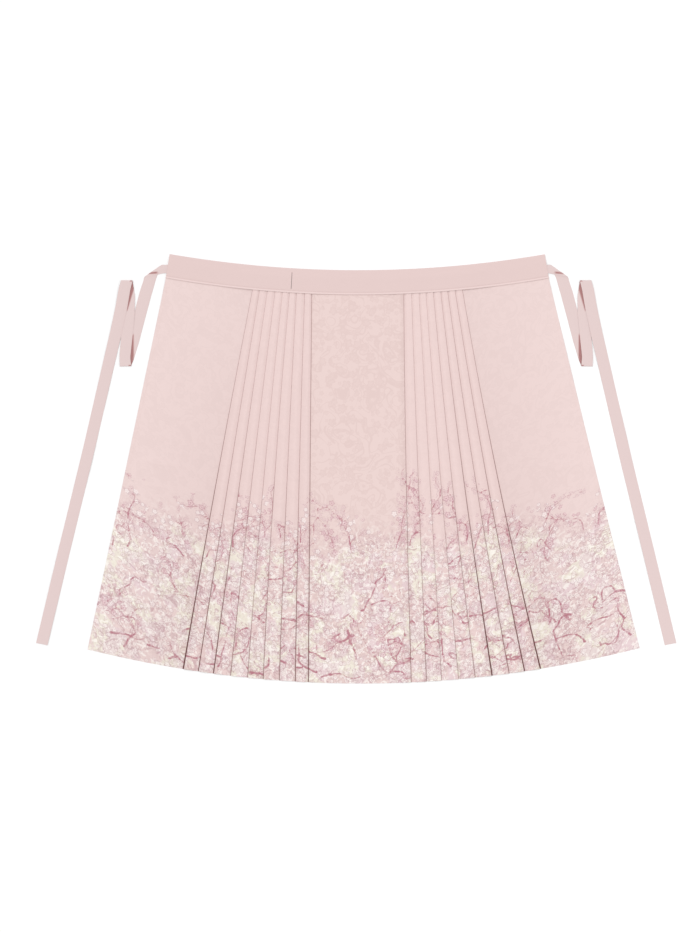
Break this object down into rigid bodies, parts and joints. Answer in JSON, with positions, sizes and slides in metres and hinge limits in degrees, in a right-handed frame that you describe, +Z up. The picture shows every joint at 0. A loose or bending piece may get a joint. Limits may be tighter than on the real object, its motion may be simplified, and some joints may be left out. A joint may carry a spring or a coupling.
{
  "type": "horse-face skirt",
  "caption": "Wrap skirt with knife pleats either side of a flat front panel, waistband and two long ties, laid open flat.",
  "frame": {"origin": "middle of the skirt's box, on the surface that it lies on", "axes": "+X along the waistband to the right, +Y from the hem up to the waistband, +Z up from the surface"},
  "size_m": [1.4726, 0.9872, 0.0062],
  "materials": {
    "panel_cloth": "pale pink jacquard with a soft satin sheen, blossom border printed above the hem",
    "pleat_cloth": "the same cloth, pressed into knife pleats",
    "band_cloth": "pale pink plain-woven strip, stiffened and topstitched",
    "tie_cloth": "pale pink plain-woven ribbon, pressed flat"
  },
  "bodies": {
    "root": {"waistband": "band_cloth", "left_end_panel": "panel_cloth", "left_pleats": "pleat_cloth", "under_panel": "panel_cloth", "front_panel": "panel_cloth", "right_pleats": "pleat_cloth", "right_end_panel": "panel_cloth", "tie_left": "tie_cloth", "tie_right": "tie_cloth"}
  },
  "joints": []
}
